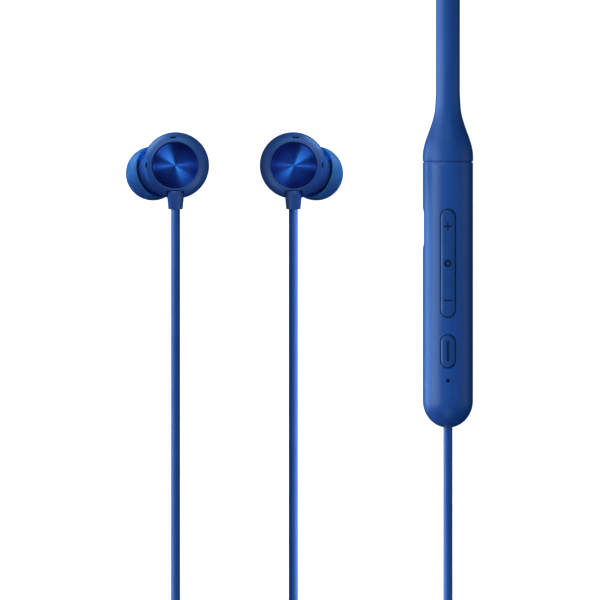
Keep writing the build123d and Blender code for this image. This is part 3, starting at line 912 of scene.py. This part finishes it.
def make_boot(side):
    """Tapered sleeve round the cable where it meets the housing."""
    outline = [(0, 5.74), (1.85, 5.74), (1.92, 5.84), (1.9, 6.6), (1.8, 8.0), (1.68, 9.2), (1.64, 9.7),
               (1.6, 9.83), (1.52, 9.88), (1.2, 9.88), (1.08, 9.82), (1.07, 5.9), (0, 5.9)]
    boot = lathe(f"{side}_boot", outline, steps=72)
    boot.data.transform(upright(BOOT_RISE))
    smooth(boot, 40)
    set_down(boot, bud_place(side), f"{side}_arm", "boot_rubber", f"{side}_cable_boot")


def make_tip(side):
    """Thin mushroom skirt on a thick core."""
    def rim_radius(radius):
        return math.sqrt(radius**2 - (TIP_RIM - TIP_CENTRE) ** 2)

    inner = TIP_R - TIP_SKIN
    first = math.degrees(math.asin((TIP_RIM - TIP_CENTRE) / TIP_R)) + 2
    last = math.degrees(math.asin((TIP_NOSE - TIP_CENTRE) / TIP_R)) - 2
    outside = arc_points((0, TIP_CENTRE), TIP_R, first, last, 40)
    nose = [(2.9, 13.66), (2.75, 13.74), (2.55, 13.72), (2.38, 13.6), (2.3, 13.4)]
    bore = [(2.3, 11.75), (2.98, 11.75), (2.98, 7.55)]
    core = [(3.05, 7.5), (3.35, 7.5), (3.48, 7.65), (3.5, 8.0), (3.5, 11.0), (3.62, 11.7), (3.9, 12.15)]
    inner_last = math.degrees(math.acos(4.15 / inner))
    inside = arc_points((0, TIP_CENTRE), inner, inner_last, first, 30)
    quarter = TIP_SKIN * 0.25
    rim = [(rim_radius(inner) + quarter, TIP_RIM + 0.02), (rim_radius(TIP_R) - quarter, TIP_RIM)]
    tip = lathe(f"{side}_silicone_tip", outside + nose + bore + core + inside + rim, steps=144)
    smooth(tip, 50)
    set_down(tip, nozzle_place(side), f"{side}_tip", "tip_silicone", f"{side}_ear_tip")


# ---- stage ----
WORLD_STRENGTH = 0.06
LIGHT_DISTANCE = 0.7
LIGHT_SIZE = 0.45
# Azimuth and elevation in degrees, colour, and power in watts.
BODY_LIGHTS = {
    "low_left": (180, -20, (0.40, 0.69, 1.0), 3.2),
    "level_left": (180, 8, (1.0, 0.9, 0.95), 1.9),
    "high_left": (180, 35, (1.0, 0.74, 0.56), 2.9),
    "upper_left": (140, 15, (1.0, 0.8, 1.0), 1.6),
    "back": (90, 40, (0.4, 1.0, 0.9), 0.9),
    "front": (270, 40, (0.5, 0.8, 1.0), 1.0),
    "right": (0, 5, (0.95, 1.0, 0.6), 0.5),
    "high_right": (0, 45, (0.4, 0.5, 1.0), 0.7),
    "top": (0, 89, (0.1, 0.5, 1.0), 0.7),
}
LEFT_LIGHTS = ("low_left", "level_left", "high_left")
# The right cable has lights of its own instead of the left lights, because its two stretches side by
# side are lit from opposite sides.
CABLE_LIGHT_DISTANCE = 0.016
CABLE_LIGHT_LENGTH = 0.11
CABLE_LIGHT_SHARE = 0.7  # a long light needs less power for the same highlight
CABLE_LIGHT_BY_POD_Y, CABLE_LIGHT_BY_BUD_Y = -0.102, -0.083
BUD_RAMP_SLOPE = 0.16  # rise of the cable towards its earbud
BUD_LIGHTS = {  # as the left earbud has them; the right one has their mirror image
    "bud_low_left": (180, -10, (0.08, 0.45, 1.0), 2.6),
    "bud_low_back": (135, -10, (0.74, 1.0, 1.0), 4.0),
    "bud_high_back": (135, 40, (1.0, 0.45, 0.6), 2.2),
    "bud_back": (90, 40, (0.74, 1.0, 0.75), 1.7),
    "bud_front_right": (315, 40, (0.94, 0.91, 1.0), 1.8),
    "bud_right": (0, 40, (1.0, 0.3, 0.16), 0.9),
}
DISC_LIGHTS = {  # with width and height in metres: small lights that only the disc sees
    "disc_fan": (140, 62, (0.8, 1.0, 0.8), 1.0, (0.16, 0.10)),
    "disc_line": (176, 66, (1.0, 1.0, 1.0), 0.16, (0.008, 0.08)),
    "disc_fill": (330, 82, (0.9, 0.6, 1.0), 0.62, (0.45, 0.45)),
}


def area_light(name, azimuth, elevation, size, power, colour, receivers):
    """Area light aimed at the middle of the view; only the receivers' objects are lit by it."""
    light = bpy.data.lights.new(name, "AREA")
    light.shape = "RECTANGLE"
    light.size, light.size_y = size
    light.energy = power
    light.color = colour
    obj = bpy.data.objects.new(name, light)
    azimuth, elevation = math.radians(azimuth), math.radians(elevation)
    level = math.cos(elevation)
    out = Vector((level * math.cos(azimuth), level * math.sin(azimuth), math.sin(elevation)))
    obj.location = Vector((VIEW_X, VIEW_Y, AIM_Z)) + out * LIGHT_DISTANCE
    obj.rotation_euler = (-out).to_track_quat("-Z", "Y").to_euler()
    obj.visible_camera = False
    obj.light_linking.receiver_collection = receivers
    bpy.context.scene.collection.objects.link(obj)
    return obj


def cable_light(name, near, along, azimuth, elevation, power, colour, receivers):
    """Long light close beside a stretch of cable; it shines one way only, from the given side."""
    height = CABLE_LIGHT_DISTANCE * LIGHT_SIZE / LIGHT_DISTANCE
    share = CABLE_LIGHT_SHARE * height * CABLE_LIGHT_LENGTH / LIGHT_SIZE**2
    size = (CABLE_LIGHT_LENGTH, height)
    obj = area_light(name, azimuth, elevation, size, power * share, colour, receivers)
    azimuth, elevation = math.radians(azimuth), math.radians(elevation)
    along = Vector(along).normalized()
    out = Vector((math.cos(elevation) * math.cos(azimuth), 0, math.sin(elevation)))
    out = (out - along * out.dot(along)).normalized()
    turn = Matrix((along, out.cross(along), out)).transposed().to_4x4()
    obj.matrix_world = Matrix.Translation(Vector(near) + out * CABLE_LIGHT_DISTANCE) @ turn


def group(name, objects):
    collection = bpy.data.collections.new(name)
    for obj in objects:
        collection.objects.link(obj)
    return collection


def make_lights():
    """The right earbud and the stretch of cable by it are lit as the left one's mirror image."""
    shown = [o for o in bpy.context.scene.objects if o.type in ("MESH", "CURVE")]
    parts = ("bud_ring", "bud_bowl", "boot", "silicone_tip")
    buds = {side: [o for o in shown if o.name in {f"{side}_{part}" for part in parts}] for side in SIDES}
    discs = {side: [o for o in shown if o.name == f"{side}_spun_disc"] for side in SIDES}
    apart = buds["left"] + buds["right"] + discs["left"] + discs["right"]
    rest = [o for o in shown if o not in apart]
    body = group("lit_body", rest)
    from_left = group("lit_from_left", [o for o in rest if o.name != "right_earbud_cable"])
    cable = group("lit_right_cable", [o for o in rest if o.name == "right_earbud_cable"])
    even = (LIGHT_SIZE, LIGHT_SIZE)
    by_pod, pod_run = (ARM_X, CABLE_LIGHT_BY_POD_Y, TABLE_Z), (0, 1, 0)
    by_bud, bud_run = (bud_centre("right").x, CABLE_LIGHT_BY_BUD_Y, BUD_RAMP_Z), (0, 1, BUD_RAMP_SLOPE)
    for name, (azimuth, elevation, colour, power) in BODY_LIGHTS.items():
        left = name in LEFT_LIGHTS
        area_light(name, azimuth, elevation, even, power, colour, from_left if left else body)
        if left:
            cable_light(f"{name}_by_pod", by_pod, pod_run, azimuth, elevation, power, colour, cable)
            cable_light(f"{name}_by_bud", by_bud, bud_run, 180 - azimuth, elevation, power, colour, cable)
    for side in SIDES:
        bud, disc = group(f"lit_{side}_bud", buds[side]), group(f"lit_{side}_disc", discs[side])
        for name, (azimuth, elevation, colour, power) in BUD_LIGHTS.items():
            turned = azimuth if side == "left" else 180 - azimuth
            area_light(f"{name}_for_{side}", turned, elevation, even, power, colour, bud)
        for name, (azimuth, elevation, colour, power, size) in DISC_LIGHTS.items():
            turned = azimuth if side == "left" else 180 - azimuth
            area_light(f"{name}_for_{side}", turned, elevation, size, power, colour, disc)


def make_world():
    """Dim light from above only."""
    world = bpy.data.worlds.new("world")
    world.use_nodes = True
    tree = world.node_tree
    background = tree.nodes["Background"]
    set_inputs(background, Color=(0.7, 0.85, 1.0, 1))
    place = tree.nodes.new("ShaderNodeTexCoord")
    split = tree.nodes.new("ShaderNodeSeparateXYZ")
    above = add_node(tree, "ShaderNodeMapRange", From_Min=-0.1, From_Max=0.3, To_Max=WORLD_STRENGTH)
    tree.links.new(place.outputs["Generated"], split.inputs["Vector"])
    tree.links.new(split.outputs["Z"], above.inputs["Value"])
    tree.links.new(above.outputs["Result"], background.inputs["Strength"])
    bpy.context.scene.world = world


def make_floor():
    """White table that shows to the camera and takes soft shadows, but throws no light back."""
    half = 1.5
    corners = [(-half, -half, 0), (half, -half, 0), (half, half, 0), (-half, half, 0)]
    floor = new_object("floor", corners, [(0, 1, 2, 3)])
    floor.location.z = -0.0002  # just clear of the lowest pieces
    material, tree, shader = node_tree("pale floor")
    grain = surface_grain(tree, 0.02, 2.0)
    shade = ramp(tree, grain.outputs["Fac"], (0.84, 0.84, 0.84), (0.87, 0.87, 0.87))
    tree.links.new(shade.outputs["Color"], shader.inputs["Base Color"])
    set_inputs(shader, Roughness=0.9, Emission_Color=(1, 1, 1, 1), Emission_Strength=0.9)
    floor.data.materials.append(material)
    floor.visible_diffuse = False
    floor.visible_glossy = False
    floor.visible_transmission = False
    floor.visible_shadow = False


def main():
    make_camera()
    dress_cad_nodes()
    for side in SIDES:
        make_cable(side)
    make_band()
    make_pods()
    make_keys()
    for side in SIDES:
        make_ring(side)
        make_disc(side)
        make_bowl(side)
        make_boot(side)
        make_tip(side)
    make_floor()
    make_world()
    make_lights()
    bpy.context.scene.view_settings.view_transform = "Standard"


main()
